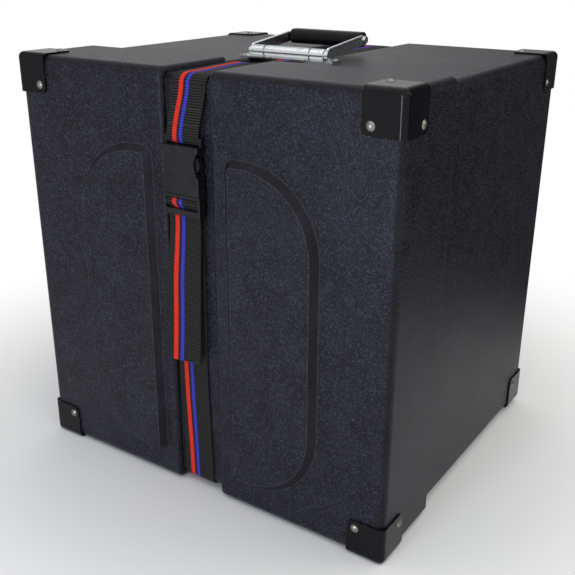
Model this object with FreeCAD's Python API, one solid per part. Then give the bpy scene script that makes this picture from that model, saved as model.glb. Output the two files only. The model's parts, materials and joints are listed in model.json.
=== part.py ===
import FreeCAD, Part
import math
import os

# Marching snare drum case: a deep base, a shallow lid that slides over it, one strap with a
# side-release buckle, and a folding handle on the top. Millimetres. +Z is up, the lid faces -Y,
# and the origin is the centre of the footprint on the ground.

Vector = FreeCAD.Vector

# Shells
case_width = 440.0
case_height = 440.0
case_depth = 380.0
lid_depth = 96.0
lid_wall = 3.5
base_wall = 3.5
lid_clearance = 2.0
edge_radius = 8.0
groove_edge_radius = 4.5
base_rim_setback = 40.0
groove_depth = 6.0
overrun = 4.0
match_share = 1e-6

# Raised panels on the lid's front
panel_inner_edge = 43.5
panel_outer_edge = 145.5
panel_bottom_margin = 28.0
panel_top_margin = 74.0
panel_inner_radius = 12.0
panel_outer_radius = 81.0
panel_rise = 6.4
panel_slope = 6.8
pip_radius = 5.0
pip_depth = 0.8
pip_from_panel_edge = 13.0
pip_from_panel_end = 78.0

# Corner protectors
protector_leg = 38.0
protector_thickness = 1.8
protector_corner_radius = 6.0
protector_free_radius = 7.0
rivet_from_edge = 8.5

# Rivets and washers
rivet_shank_radius = 2.0
rivet_head_radius = 4.2
rivet_head_height = 1.9
rivet_flush_depth = 1.3
rivet_tail_radius = 3.3
rivet_tail_thickness = 1.1
rivet_clearance = 0.15
washer_radius = 5.2
washer_thickness = 0.8

# Foam
foam_thickness = 8.0
back_foam_thickness = 12.0
foam_gap = 0.3
foam_corner_relief = 46.0
foam_rim_margin = 6.0
foam_pocket_clearance = 0.8

# Webbing strap
strap_width = 38.0
strap_thickness = 1.6
strap_gap = 0.3
strap_offset = -4.0
strap_step_run = 24.0
strap_step_ease = 4.0
strap_step_radius = 14.0
strap_end_gap = 0.3
fold_length = 34.5
fold_ease = 14.0
fold_clearance = 1.5
layer_gap = 0.5
ease_radius = 24.0
lead_start = 13.0
lead_end = 3.0
lead_radius = 5.0
tuck_ease = 0.6
tuck_radius = 2.8
tail_length = 165.0
tail_curl_length = 32.0
tail_curl_radius = 20.0
tail_reach = 8.5

# Buckle
buckle_drop = 134.5
buckle_side_gap = 1.3
buckle_gap = 0.5
buckle_proud = 6.8
buckle_body_height = 46.0
buckle_body_wall = 2.6
buckle_face_wall = 2.2
buckle_frame_height = 20.5
buckle_rail = 2.4
buckle_bar_radius = 1.7
buckle_slot = 2.5
middle_bar_forward = 4.0
buckle_ear_height = 8.0
buckle_ear_radius = 1.2
buckle_low_bar_height = 5.5
buckle_low_bar_thickness = 3.6
buckle_cross_height = 3.4
buckle_joint_gap = 0.4
buckle_edge_radius = 1.6
bite_radius = 19.0
bite_depth = 4.6
carrier_height = 5.0
cavity_gap = 0.6
tongue_width = 16.0
tongue_height = 30.0
prong_thickness = 3.0
prong_tip_gap = 0.5
prong_inset = 2.6
prong_root_radius = 2.0
prong_button_length = 17.0
prong_button_proud = 4.9
prong_button_from_root = 22.0

# Handle
handle_axis_from_middle = -33.0
handle_offset = 7.0
handle_reach = 76.0
grip_length = 88.0
grip_depth = 19.0
grip_height = 15.5
grip_edge_radius = 6.2
grip_end_radius = 2.0
grip_axis_height = 15.5
grip_end_gap = 0.5
arm_thickness = 2.2
arm_foot_gap = 0.3
arm_shoulder_radius = 2.4
arm_shoulder_forward = 1.5
arm_shoulder_height = 3.2
arm_tip_radius = 4.6
bead_radius = 1.6
grip_pin_radius = 2.5
pin_clearance = 0.06
pin_head_inset = 0.4
pin_head_thickness = 1.3
pin_head_gap = 0.15
knuckle_radius = 6.1
knuckle_wall = 3.1
knuckle_end_gap = 0.6
knuckle_gap = 1.5
centre_knuckle_length = 54.0
bracket_depth = 24.0
bracket_thickness = 1.6
bracket_corner_radius = 5.0
bracket_rivet_from_end = 4.7
bracket_rivet_spread = 13.0
bracket_rivet_gap = 0.75
bracket_rivet_head_radius = 3.4
bracket_rivet_head_height = 1.5

# The buckle is as wide as the strap asks, and the groove as wide as the buckle asks
buckle_width = strap_width + 2 * (buckle_rail + strap_gap)
groove_width = buckle_width + 2 * (abs(strap_offset) + buckle_side_gap)

# Planes of the case, worked out from the sizes above
front_y = tail_reach - (case_depth + tail_reach + protector_thickness) / 2
rear_y = front_y + case_depth
middle_y = front_y + case_depth / 2
lid_rim_y = front_y + lid_depth
base_rim_y = front_y + base_rim_setback
lid_low_z = protector_thickness
lid_high_z = lid_low_z + case_height
base_inset = lid_wall + lid_clearance
base_low_z = lid_low_z + base_inset
base_high_z = lid_high_z - base_inset
base_width = case_width - 2 * base_inset
base_groove_width = groove_width + 2 * base_inset


def box(x0, x1, y0, y1, z0, z1):
    """A box between two values on each axis."""
    return Part.makeBox(x1 - x0, y1 - y0, z1 - z0, Vector(x0, y0, z0))


def fuse_all(shapes):
    """One solid from shapes that touch or overlap."""
    whole = shapes[0]
    for shape in shapes[1:]:
        whole = whole.fuse(shape)
    return whole.removeSplitter()


def cylinder_x(radius, x0, x1, y, z):
    """A cylinder along X between x0 and x1."""
    return Part.makeCylinder(radius, x1 - x0, Vector(x0, y, z), Vector(1, 0, 0))


def cylinder_y(radius, y0, y1, x, z):
    """A cylinder along Y between y0 and y1."""
    return Part.makeCylinder(radius, y1 - y0, Vector(x, y0, z), Vector(0, 1, 0))


def round_edges(shape, radius, wanted):
    """Round the edges whose end points make wanted(p, q) true."""
    edges = []
    for edge in shape.Edges:
        if len(edge.Vertexes) == 2 and wanted(edge.Vertexes[0].Point, edge.Vertexes[1].Point):
            edges.append(edge)
    return shape.makeFillet(radius, edges)


def same(a, b):
    """True where two coordinates agree closely."""
    return abs(a - b) < overrun * match_share


def axis_vector(axis, length):
    """A vector of the given length along axis 0, 1 or 2."""
    parts = [0, 0, 0]
    parts[axis] = length
    return Vector(*parts)


def place_on(shape, point, normal):
    """Move a shape built on +Z at the origin to a point, with +Z turned to the normal."""
    placed = shape.copy()
    placed.Placement = FreeCAD.Placement(point, FreeCAD.Rotation(Vector(0, 0, 1), normal))
    return placed


# Shells


def grooved_block(width, low_z, high_z, closed_y, open_y, groove, radius, groove_radius):
    """A rounded block with the strap's groove on its closed end, top and bottom.

    The block runs from its closed end to its square open end. Its outer edges have one radius
    and the edges beside the groove a smaller one.
    """
    inward = math.copysign(1, open_y - closed_y)
    y0 = min(closed_y, open_y)
    y1 = max(closed_y, open_y)

    def not_at_open_end(p, q):
        return not (same(p.y, open_y) and same(q.y, open_y))

    blocks = []
    for side in (-1, 1):
        groove_x = side * groove / 2
        x0, x1 = sorted((groove_x, side * width / 2))
        pad = box(x0, x1, y0, y1, low_z, high_z)

        def beside_groove(p, q, at=groove_x):
            return same(p.x, at) and same(q.x, at) and not_at_open_end(p, q)

        def elsewhere(p, q, at=groove_x):
            return not_at_open_end(p, q) and not (same(p.x, at) and same(q.x, at))

        pad = round_edges(pad, radius, elsewhere)
        blocks.append(round_edges(pad, groove_radius, beside_groove))
    floor_y = closed_y + inward * groove_depth
    half = groove / 2 + 2 * radius
    core = box(-half, half, min(floor_y, open_y), max(floor_y, open_y),
               low_z + groove_depth, high_z - groove_depth)

    def across_closed_end(p, q):
        return same(p.y, floor_y) and same(q.y, floor_y) and same(p.z, q.z)

    blocks.append(round_edges(core, radius, across_closed_end))
    return fuse_all(blocks)


def shell(width, low_z, high_z, closed_y, open_y, groove, wall):
    """A grooved tub of even wall, open at open_y."""
    inward = math.copysign(1, open_y - closed_y)
    outer = grooved_block(width, low_z, high_z, closed_y, open_y, groove, edge_radius,
                          groove_edge_radius)
    inner = grooved_block(width - 2 * wall, low_z + wall, high_z - wall, closed_y + inward * wall,
                          open_y + inward * overrun, groove + 2 * wall, edge_radius - wall,
                          groove_edge_radius - wall)
    return outer.cut(inner)


def panel_wire(inset, y):
    """The outline of the right raised panel, drawn in by inset, on the plane at y."""
    x0 = panel_inner_edge + inset
    x1 = panel_outer_edge - inset
    z0 = lid_low_z + panel_bottom_margin + inset
    z1 = lid_high_z - panel_top_margin - inset
    small = panel_inner_radius - inset
    large = min(panel_outer_radius - inset, x1 - x0 - small, (z1 - z0) / 2)
    bend = math.sqrt(0.5)

    def arc(centre_x, centre_z, radius, from_x, from_z, to_x, to_z):
        start = Vector(centre_x + radius * from_x, y, centre_z + radius * from_z)
        middle = Vector(centre_x + radius * (from_x + to_x) * bend, y,
                        centre_z + radius * (from_z + to_z) * bend)
        end = Vector(centre_x + radius * to_x, y, centre_z + radius * to_z)
        return Part.Arc(start, middle, end).toShape()

    corners = [
        arc(x0 + small, z0 + small, small, -1, 0, 0, -1),
        arc(x1 - large, z0 + large, large, 0, -1, 1, 0),
        arc(x1 - large, z1 - large, large, 1, 0, 0, 1),
        arc(x0 + small, z1 - small, small, 0, 1, -1, 0),
    ]
    edges = []
    for index, corner in enumerate(corners):
        following = corners[(index + 1) % len(corners)]
        edges.append(corner)
        start = corner.Vertexes[-1].Point
        end = following.Vertexes[0].Point
        if not same(start.distanceToPoint(end), 0):
            edges.append(Part.makeLine(start, end))
    return Part.Wire(edges)


def panel_solid(low, high, extra):
    """The right panel between two heights in front of the lid, drawn in by extra all round."""
    wires = []
    for height in (low, high):
        wires.append(panel_wire(height * panel_slope / panel_rise + extra, front_y - height))
    return Part.makeLoft(wires, True, True)


def mirror_x(shape):
    """The shape's mirror image across the middle plane."""
    return shape.mirror(Vector(0, 0, 0), Vector(1, 0, 0))


def pip_tools():
    """Short cylinders that press two faint round marks into each raised panel."""
    tools = []
    x = panel_inner_edge + pip_from_panel_edge
    heights = (lid_low_z + panel_bottom_margin + pip_from_panel_end,
               lid_high_z - panel_top_margin - pip_from_panel_end)
    for side in (-1, 1):
        for z in heights:
            top = front_y - panel_rise
            tools.append(cylinder_y(pip_radius, top - overrun, top + pip_depth, side * x, z))
    return tools


def lid_shell():
    """The lid: a shallow tub with raised panels, drilled for its protectors."""
    body = shell(case_width, lid_low_z, lid_high_z, front_y, lid_rim_y, groove_width, lid_wall)
    slope_share = panel_slope / panel_rise
    draw_in = lid_wall * math.hypot(1, slope_share)
    for mirrored in (False, True):
        raised = panel_solid(-lid_wall / 2, panel_rise, 0)
        hollow = panel_solid(-lid_wall - overrun, panel_rise - lid_wall, draw_in)
        if mirrored:
            raised = mirror_x(raised)
            hollow = mirror_x(hollow)
        body = body.fuse(raised).cut(hollow)
    body = body.cut(pip_tools())
    return body.cut(protector_drills(LID_CORNERS, lid_wall)).removeSplitter()


def base_shell():
    """The base: a deep tub, drilled for its protectors and the handle bracket."""
    body = shell(base_width, base_low_z, base_high_z, rear_y, base_rim_y, base_groove_width, base_wall)
    drills = protector_drills(BASE_CORNERS, base_wall)
    for point in bracket_rivet_points():
        drills.append(drill(point, Vector(0, 0, 1), bracket_thickness + base_wall))
    return body.cut(drills)


# Corner protectors


def corner_places(width, y, side_y, low_z, high_z, prefix):
    """Name, corner point and signs of the four protectors at one end of a shell."""
    places = []
    for sign_z, height, level in ((1, high_z, "top"), (-1, low_z, "bottom")):
        for sign_x, side in ((-1, "left"), (1, "right")):
            corner = Vector(sign_x * width / 2, y, height)
            places.append((f"{prefix}_protector_{level}_{side}", corner, (sign_x, side_y, sign_z)))
    return places


LID_CORNERS = corner_places(case_width, front_y, -1, lid_low_z, lid_high_z, "lid")
BASE_CORNERS = corner_places(base_width, rear_y, 1, base_low_z, base_high_z, "base")


def leg_rivets(corner, signs):
    """Point, outward normal and flushness of the rivet on each leg of one protector.

    Legs that the case can stand on, below and behind, have flush rivets.
    """
    rivets = []
    along = protector_leg - rivet_from_edge
    for axis in range(3):
        point = Vector(corner)
        for other in range(3):
            if other == axis:
                step = protector_thickness
            else:
                step = -along
            point = point + axis_vector(other, signs[other] * step)
        flush = (axis == 2 and signs[2] < 0) or (axis == 1 and signs[1] > 0)
        rivets.append((point, axis_vector(axis, signs[axis]), flush))
    return rivets


def drill(point, normal, depth):
    """The clearance hole of a rivet that enters at a point and runs depth deep."""
    radius = rivet_shank_radius + rivet_clearance
    start = point + normal * overrun
    return Part.makeCylinder(radius, depth + 2 * overrun, start, normal * -1)


def countersink(point, normal):
    """The conical seat of a flush rivet."""
    top = rivet_head_radius + rivet_clearance
    bottom = rivet_shank_radius + rivet_clearance
    return Part.makeCone(top, bottom, rivet_flush_depth + rivet_clearance, point, normal * -1)


def protector_drills(places, wall):
    """All rivet holes of one shell's protectors."""
    drills = []
    for _, corner, signs in places:
        for point, normal, _ in leg_rivets(corner, signs):
            drills.append(drill(point, normal, protector_thickness + wall))
    return drills


def free_corner_cutter():
    """What rounds the free corner of the leg that faces +X, for a corner at the origin."""
    far = protector_leg + overrun
    inner = protector_leg - protector_free_radius
    block = box(-overrun, protector_thickness + overrun, -far, -inner, -far, -inner)
    keep = cylinder_x(protector_free_radius, -2 * overrun, protector_thickness + 2 * overrun,
                      -inner, -inner)
    return block.cut(keep)


def rounded_octant(low, high, radius):
    """A cube from low to high on every axis, with the three edges at its high corner rounded."""
    tip = Vector(high, high, high)

    def meets_tip(p, q):
        return same(p.distanceToPoint(tip), 0) or same(q.distanceToPoint(tip), 0)

    return round_edges(box(low, high, low, high, low, high), radius, meets_tip)


def protector(corner, signs):
    """A pressed steel corner with three square legs and rounded free corners."""
    far = protector_leg + overrun
    outer = rounded_octant(-protector_leg, protector_thickness, protector_corner_radius)
    inner = rounded_octant(-far, 0, protector_corner_radius - protector_thickness)
    body = outer.cut(inner)
    for turn in range(3):
        cutter = free_corner_cutter()
        cutter.rotate(Vector(0, 0, 0), Vector(1, 1, 1), turn * 120)
        body = body.cut(cutter)
    for axis in range(3):
        if signs[axis] < 0:
            body = body.mirror(Vector(0, 0, 0), axis_vector(axis, 1))
    body.translate(corner)
    for point, normal, flush in leg_rivets(corner, signs):
        body = body.cut(drill(point, normal, protector_thickness))
        if flush:
            body = body.cut(countersink(point, normal))
    return body


# Rivets and washers


def rivet(grip, head_radius, head_height, flush):
    """A clinched rivet along Z: its head seats at zero and it grips downwards."""
    low = -grip - washer_thickness
    if flush:
        profile = [
            Vector(0, 0, 0),
            Vector(head_radius, 0, 0),
            Vector(rivet_shank_radius, 0, -rivet_flush_depth),
        ]
        edges = [Part.makeLine(profile[0], profile[1]), Part.makeLine(profile[1], profile[2])]
    else:
        profile = [Vector(0, 0, head_height), Vector(head_radius, 0, 0), Vector(rivet_shank_radius, 0, 0)]
        ball = (head_radius ** 2 + head_height ** 2) / (2 * head_height)
        half_angle = math.asin(min(head_radius / ball, 1)) / 2
        middle = Vector(ball * math.sin(half_angle), 0, head_height - ball + ball * math.cos(half_angle))
        edges = [Part.Arc(profile[0], middle, profile[1]).toShape(), Part.makeLine(profile[1], profile[2])]
    outline = [
        profile[2],
        Vector(rivet_shank_radius, 0, low),
        Vector(rivet_tail_radius, 0, low),
        Vector(rivet_tail_radius, 0, low - rivet_tail_thickness),
        Vector(0, 0, low - rivet_tail_thickness),
        profile[0],
    ]
    for start, end in zip(outline, outline[1:]):
        edges.append(Part.makeLine(start, end))
    face = Part.Face(Part.Wire(edges))
    return face.revolve(Vector(0, 0, 0), Vector(0, 0, 1), 360)


def washer(grip):
    """The washer under a rivet's tail, along Z with the rivet's seat at zero."""
    low = -grip - washer_thickness
    disc = Part.makeCylinder(washer_radius, washer_thickness, Vector(0, 0, low))
    hole = Part.makeCylinder(rivet_shank_radius + rivet_clearance, washer_thickness + 2 * overrun,
                             Vector(0, 0, low - overrun))
    return disc.cut(hole)


def protector_rivets(places, wall, flush_wanted):
    """The rivets of one shell's protectors, either the flush ones or the domed ones."""
    solids = []
    grip = protector_thickness + wall
    for _, corner, signs in places:
        for point, normal, flush in leg_rivets(corner, signs):
            if flush == flush_wanted:
                one = rivet(grip, rivet_head_radius, rivet_head_height, flush)
                solids.append(place_on(one, point, normal))
    return Part.makeCompound(solids)


def protector_washers(places, wall):
    """The washers inside one shell."""
    solids = []
    grip = protector_thickness + wall
    for _, corner, signs in places:
        for point, normal, _ in leg_rivets(corner, signs):
            solids.append(place_on(washer(grip), point, normal))
    return Part.makeCompound(solids)


# Foam


def lid_foam():
    """The lid's thick pad, which the base's rim closes on, cut clear of rivets and groove."""
    margin = edge_radius + foam_gap
    half = case_width / 2 - margin
    low = lid_low_z + margin
    high = lid_high_z - margin
    front = front_y + lid_wall
    back = base_rim_y - foam_gap
    pad = box(-half, half, front, back, low, high)
    rib = groove_width / 2 + groove_edge_radius + foam_gap
    front_depth = groove_depth + lid_wall + foam_gap
    end_depth = groove_depth + edge_radius + foam_gap
    tools = [
        box(-rib, rib, front_y, front_y + front_depth, lid_low_z, lid_high_z),
        box(-rib, rib, front_y, back + overrun, lid_high_z - end_depth, lid_high_z),
        box(-rib, rib, front_y, back + overrun, lid_low_z, lid_low_z + end_depth),
    ]
    inner_x = case_width / 2 - foam_corner_relief
    inner_low = lid_low_z + foam_corner_relief
    inner_high = lid_high_z - foam_corner_relief
    for x0, x1 in ((-case_width, -inner_x), (inner_x, case_width)):
        for z0, z1 in ((-case_height, inner_low), (inner_high, 2 * case_height)):
            tools.append(box(x0, x1, front_y, back + overrun, z0, z1))
    return pad.cut(tools)


def base_foam_y():
    """Where the wall foam of the base starts and ends along Y."""
    return base_rim_y + foam_rim_margin, rear_y - foam_corner_relief


def side_foam(side):
    """The foam sheet on the base's left or right wall."""
    y0, y1 = base_foam_y()
    outer = base_width / 2 - base_wall
    x0, x1 = sorted((side * outer, side * (outer - foam_thickness)))
    return box(x0, x1, y0, y1, base_low_z + foam_corner_relief, base_high_z - foam_corner_relief)


def level_foam(level):
    """The foam sheet under the base's top wall (level 1) or on its floor (level -1)."""
    y0, y1 = base_foam_y()
    if level > 0:
        outer = base_high_z - base_wall
    else:
        outer = base_low_z + base_wall
    thickness = foam_thickness + groove_depth
    z0, z1 = sorted((outer, outer - level * thickness))
    half = base_width / 2 - foam_corner_relief
    sheet = box(-half, half, y0, y1, z0, z1)
    rib = base_groove_width / 2 + groove_edge_radius + foam_gap
    r0, r1 = sorted((outer + level * overrun, outer - level * (groove_depth + foam_gap)))
    tools = [box(-rib, rib, y0 - overrun, y1 + overrun, r0, r1)]
    if level > 0:
        for point in bracket_rivet_points():
            start = Vector(point.x, point.y, z0 - overrun)
            pocket_radius = washer_radius + foam_pocket_clearance
            tools.append(Part.makeCylinder(pocket_radius, thickness + 2 * overrun, start))
    return sheet.cut(tools)


def back_foam():
    """The foam sheet on the base's back wall, notched over the groove's rib."""
    outer = rear_y - base_wall
    half = base_width / 2 - foam_corner_relief
    low = base_low_z + foam_corner_relief
    high = base_high_z - foam_corner_relief
    sheet = box(-half, half, outer - back_foam_thickness, outer, low, high)
    rib = base_groove_width / 2 + groove_edge_radius + foam_gap
    notch = box(-rib, rib, outer - groove_depth - foam_gap, outer + overrun, low - overrun, high + overrun)
    return sheet.cut(notch)


# Ribbons of webbing


def ribbon_side(route, offset):
    """The edges of one side of a ribbon, offset from its route in the YZ plane.

    Each point of the route is y, z and the radius of the bend there.
    """
    directions = []
    for (y0, z0, _), (y1, z1, _) in zip(route, route[1:]):
        length = math.hypot(y1 - y0, z1 - z0)
        directions.append(((y1 - y0) / length, (z1 - z0) / length))

    def shifted(point, direction):
        return (point[0] - direction[1] * offset, point[1] + direction[0] * offset)

    edges = []
    pen = shifted(route[0], directions[0])
    for index in range(1, len(route) - 1):
        before = directions[index - 1]
        after = directions[index]
        turn = math.atan2(before[0] * after[1] - before[1] * after[0],
                          before[0] * after[0] + before[1] * after[1])
        side = math.copysign(1, turn)
        radius = route[index][2] - side * offset
        cut_back = route[index][2] * math.tan(abs(turn) / 2)
        start = shifted((route[index][0] - before[0] * cut_back, route[index][1] - before[1] * cut_back),
                        before)
        end = shifted((route[index][0] + after[0] * cut_back, route[index][1] + after[1] * cut_back), after)
        centre = (start[0] - before[1] * side * radius, start[1] + before[0] * side * radius)
        half = turn / 2
        to_start = (start[0] - centre[0], start[1] - centre[1])
        middle = (centre[0] + to_start[0] * math.cos(half) - to_start[1] * math.sin(half),
                  centre[1] + to_start[0] * math.sin(half) + to_start[1] * math.cos(half))
        if not same(math.hypot(start[0] - pen[0], start[1] - pen[1]), 0):
            edges.append(Part.makeLine(Vector(0, *pen), Vector(0, *start)))
            pen = start
        edges.append(Part.Arc(Vector(0, *pen), Vector(0, *middle), Vector(0, *end)).toShape())
        pen = end
    last = shifted(route[-1], directions[-1])
    edges.append(Part.makeLine(Vector(0, *pen), Vector(0, *last)))
    return edges


def ribbon(route):
    """A strap of webbing along a route in the YZ plane."""
    left = ribbon_side(route, strap_thickness / 2)
    right = ribbon_side(route, -strap_thickness / 2)
    ends = [
        Part.makeLine(left[0].Vertexes[0].Point, right[0].Vertexes[0].Point),
        Part.makeLine(left[-1].Vertexes[-1].Point, right[-1].Vertexes[-1].Point),
    ]
    wire = Part.Wire(Part.__sortEdges__(left + right + ends))
    face = Part.Face(wire)
    face.translate(Vector(strap_offset - strap_width / 2, 0, 0))
    return face.extrude(Vector(strap_width, 0, 0))


# Heights and depths that the strap's runs share
lay_off = strap_gap + strap_thickness / 2
strap_front_y = front_y + groove_depth - lay_off
strap_back_y = rear_y - groove_depth + lay_off
lid_strap_top_z = lid_high_z - groove_depth + lay_off
lid_strap_low_z = lid_low_z + groove_depth - lay_off
base_strap_top_z = base_high_z - groove_depth + lay_off
base_strap_low_z = base_low_z + groove_depth - lay_off
strap_corner_radius = edge_radius + lay_off
wrap_radius = buckle_bar_radius + lay_off
bar_y = strap_front_y - wrap_radius
loop_y = strap_front_y - 2 * wrap_radius
layer_step = strap_thickness + layer_gap

buckle_low_z = lid_high_z - buckle_drop
body_low_z = buckle_low_z + buckle_frame_height
body_high_z = body_low_z + buckle_body_height
top_bar_z = body_high_z + buckle_slot + buckle_bar_radius
cross_high_z = body_low_z - buckle_joint_gap
cross_low_z = cross_high_z - buckle_cross_height
middle_bar_z = cross_low_z - wrap_radius - strap_thickness / 2 - strap_gap
middle_bar_y = bar_y - middle_bar_forward
low_bar_high_z = buckle_low_z + buckle_low_bar_height


def strap_upper_run():
    """From the lid's rim over its top, down to the buckle's top bar, and folded back behind."""
    corner_low = lid_strap_top_z - strap_corner_radius
    fold_high = min(top_bar_z + fold_length, corner_low - fold_ease - fold_clearance)
    route = [
        (lid_rim_y - strap_end_gap / 2, lid_strap_top_z, 0),
        (strap_front_y, lid_strap_top_z, strap_corner_radius),
        (strap_front_y, fold_high + fold_ease, ease_radius),
        (strap_front_y - layer_step, fold_high, ease_radius),
        (loop_y, top_bar_z + 2 * wrap_radius, ease_radius),
        (loop_y, top_bar_z - wrap_radius, wrap_radius),
        (strap_front_y, top_bar_z - wrap_radius, wrap_radius),
        (strap_front_y, fold_high, 0),
    ]
    return ribbon(route)


def strap_lower_run():
    """From the lid's rim under its floor, up the front, round the middle bar, and down as the tail."""
    tail_layer_y = strap_front_y - layer_step
    tail_end_z = middle_bar_z - tail_length
    tail_end_y = front_y - tail_reach + strap_thickness / 2
    route = [
        (lid_rim_y - strap_end_gap / 2, lid_strap_low_z, 0),
        (strap_front_y, lid_strap_low_z, strap_corner_radius),
        (strap_front_y, middle_bar_z - lead_start, lead_radius),
        (middle_bar_y + wrap_radius, middle_bar_z - lead_end, lead_radius),
        (middle_bar_y + wrap_radius, middle_bar_z + wrap_radius, wrap_radius),
        (middle_bar_y - wrap_radius, middle_bar_z + wrap_radius, wrap_radius),
        (middle_bar_y - wrap_radius, middle_bar_z - buckle_bar_radius, tuck_radius),
        (loop_y, low_bar_high_z + tuck_ease, tuck_radius),
        (loop_y, buckle_low_z, ease_radius),
        (tail_layer_y, buckle_low_z - fold_ease, ease_radius),
        (tail_layer_y, tail_end_z + tail_curl_length, tail_curl_radius),
        (tail_end_y, tail_end_z, 0),
    ]
    return ribbon(route)


def strap_rear_run():
    """From the lid's rim over the base's top, down its back, and forward under its floor."""
    start_y = lid_rim_y + strap_end_gap / 2
    ease_y = lid_rim_y + strap_step_ease
    settled_y = lid_rim_y + strap_step_run
    route = [
        (start_y, lid_strap_top_z, 0),
        (ease_y, lid_strap_top_z, strap_step_radius),
        (settled_y, base_strap_top_z, strap_step_radius),
        (strap_back_y, base_strap_top_z, strap_corner_radius),
        (strap_back_y, base_strap_low_z, strap_corner_radius),
        (settled_y, base_strap_low_z, strap_step_radius),
        (ease_y, lid_strap_low_z, strap_step_radius),
        (start_y, lid_strap_low_z, 0),
    ]
    return ribbon(route)


# Buckle

buckle_front_y = front_y - buckle_proud
buckle_back_y = front_y + groove_depth - buckle_gap
cavity_half = buckle_width / 2 - buckle_body_wall
cavity_front_y = buckle_front_y + buckle_face_wall
cavity_back_y = buckle_back_y - buckle_face_wall
frame_front_y = loop_y - lay_off - buckle_low_bar_thickness
frame_back_y = strap_front_y - lay_off
carrier_high_z = body_low_z + carrier_height
prong_root_z = carrier_high_z + strap_gap + prong_root_radius
prong_root_x = cavity_half - prong_inset - prong_thickness / 2
prong_tip_z = body_high_z - buckle_body_wall - prong_tip_gap
button_z = prong_root_z + prong_button_from_root


def at_strap(shape):
    """Move a piece built about x = 0 to the strap's centre line."""
    moved = shape.copy()
    moved.translate(Vector(strap_offset, 0, 0))
    return moved


def top_bar_rails():
    """The rails and round bar above the receiving half, which the upper run folds round."""
    half = buckle_width / 2
    high = body_high_z + buckle_ear_height
    low = body_high_z - overrun
    reach = half - buckle_rail / 2
    pieces = [cylinder_x(buckle_bar_radius, -reach, reach, bar_y, top_bar_z)]

    def across_top(p, q):
        return same(p.z, high) and same(q.z, high) and same(p.y, q.y)

    for side in (-1, 1):
        x0, x1 = sorted((side * half, side * (half - buckle_rail)))
        ear = box(x0, x1, bar_y - wrap_radius, buckle_back_y, low, high)
        pieces.append(round_edges(ear, buckle_ear_radius, across_top))
    return pieces


def buckle_receiver():
    """The receiving half: a flat sleeve, open below, bitten in at both sides for the prongs."""
    half = buckle_width / 2
    body = box(-half, half, buckle_front_y, buckle_back_y, body_low_z, body_high_z)

    def long_or_top_front(p, q):
        upright = same(p.x, q.x) and same(p.y, q.y)
        top_front = same(p.y, buckle_front_y) and same(q.y, buckle_front_y) and same(p.z, q.z)
        return upright or top_front

    body = round_edges(body, buckle_edge_radius, long_or_top_front)
    cavity = box(-cavity_half, cavity_half, cavity_front_y, cavity_back_y,
                 body_low_z - overrun, body_high_z - buckle_body_wall)
    body = body.cut(cavity)
    for side in (-1, 1):
        bite_x = side * (half + bite_radius - bite_depth)
        body = body.cut(cylinder_y(bite_radius, buckle_front_y - overrun, buckle_back_y + overrun,
                                   bite_x, button_z))
    return at_strap(fuse_all([body] + top_bar_rails()))


def buckle_frame():
    """The inserted half: rails, three bars for the webbing, the prongs' carrier and the tongue."""
    half = buckle_width / 2
    inside = cavity_half - cavity_gap
    pieces = [
        cylinder_x(buckle_bar_radius, -half + buckle_rail / 2, half - buckle_rail / 2,
                   middle_bar_y, middle_bar_z),
        box(-half, half, frame_front_y, frame_front_y + buckle_low_bar_thickness,
            buckle_low_z, low_bar_high_z),
        box(-half, half, frame_front_y, frame_back_y, cross_low_z, cross_high_z),
        box(-inside, inside, cavity_front_y + cavity_gap, cavity_back_y - cavity_gap,
            cross_low_z, carrier_high_z),
        box(-tongue_width / 2, tongue_width / 2, cavity_front_y + 2 * cavity_gap,
            cavity_back_y - 2 * cavity_gap, cross_high_z, carrier_high_z + tongue_height),
    ]
    for side in (-1, 1):
        x0, x1 = sorted((side * half, side * (half - buckle_rail)))
        rail = box(x0, x1, frame_front_y, frame_back_y, buckle_low_z, cross_high_z)
        pieces.append(rail)
    return at_strap(fuse_all(pieces))


def buckle_prong(side):
    """One release prong: a round root, a flat spring arm and a button in the sleeve's bite."""
    y0 = cavity_front_y + cavity_gap
    y1 = cavity_back_y - cavity_gap
    inner = prong_root_x - prong_thickness / 2
    outer = prong_root_x + prong_thickness / 2
    reach = prong_button_length / 2
    bulge = (reach ** 2 + prong_button_proud ** 2) / (2 * prong_button_proud)
    arm = box(inner, outer, y0, y1, prong_root_z, prong_tip_z)
    root = cylinder_y(prong_root_radius, y0, y1, prong_root_x, prong_root_z)
    button = box(inner, outer + prong_button_proud, y0, y1, button_z - reach, button_z + reach)
    button = button.common(cylinder_y(bulge, y0, y1, outer + prong_button_proud - bulge, button_z))
    prong = fuse_all([arm, root, button])
    if side < 0:
        prong = mirror_x(prong)
    return at_strap(prong)


# Handle

handle_y = middle_y + handle_axis_from_middle
grip_y = handle_y + handle_reach
hinge_z = base_high_z + knuckle_radius
grip_z = base_high_z + grip_axis_height
arm_inner_x = grip_length / 2 + grip_end_gap
arm_outer_x = arm_inner_x + arm_thickness
knuckle_end_x = arm_inner_x - knuckle_end_gap
hinge_pin_radius = knuckle_radius - knuckle_wall
arm_root_radius = knuckle_radius - bracket_thickness - arm_foot_gap
pin_head_radius = arm_root_radius - pin_head_inset
pin_end_x = arm_outer_x + pin_head_gap + pin_head_thickness
bracket_rivet_x = pin_end_x + bracket_rivet_gap + bracket_rivet_head_radius
bracket_half = bracket_rivet_x + bracket_rivet_from_end


def at_handle(shape):
    """Move a piece built about x = 0 to the handle's middle."""
    moved = shape.copy()
    moved.translate(Vector(handle_offset, 0, 0))
    return moved


def bracket_rivet_points():
    """Where the bracket's four rivets enter, on the plate's upper face."""
    points = []
    z = base_high_z + bracket_thickness
    for side in (-1, 1):
        x = handle_offset + side * bracket_rivet_x
        for end in (-1, 1):
            points.append(Vector(x, handle_y + end * bracket_rivet_spread / 2, z))
    return points


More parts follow.
